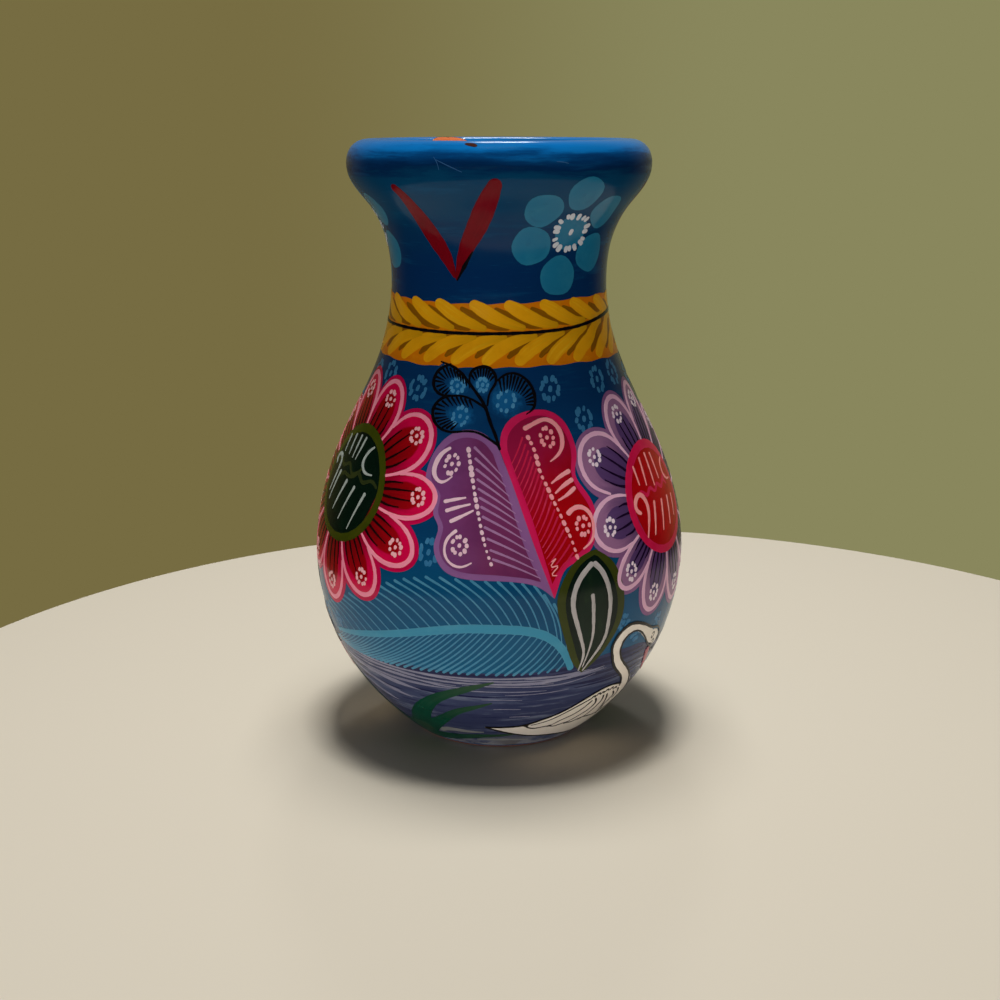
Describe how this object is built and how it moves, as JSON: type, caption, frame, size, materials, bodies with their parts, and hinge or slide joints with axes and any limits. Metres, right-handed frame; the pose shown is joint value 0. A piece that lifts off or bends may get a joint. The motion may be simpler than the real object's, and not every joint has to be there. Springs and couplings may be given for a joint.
{
  "type": "terracotta vase",
  "caption": "Pear-shaped terracotta vase with a narrow neck and a flared rolled lip, for standing flowers or for show, painted all over outside.",
  "frame": {"origin": "centre of the flat underside of the foot", "axes": "+Z along the pot's turning axis from the foot up to the mouth, -Y towards the face that the picture shows, +X to that face's right"},
  "size_m": [0.0946, 0.0946, 0.15],
  "materials": {
    "bare_terracotta": "bare low-fired red clay, matt and finely grained",
    "blue_paint": "deep blue brushed paint on fired clay under a gloss varnish",
    "lake_paint": "slate grey paint streaked with indigo on fired clay under a gloss varnish",
    "ornament_paint": "flowers, leaves, bands and birds brushed over the base coats under the same gloss varnish"
  },
  "bodies": {
    "root": {"floor_disc": "bare_terracotta", "lower_belly": "lake_paint", "upper_belly": "blue_paint", "neck_collar": "blue_paint", "rim_coil": "blue_paint", "floor_luting_coil": "bare_terracotta", "belly_luting_coil": "bare_terracotta", "neck_luting_coil": "bare_terracotta"}
  },
  "joints": []
}
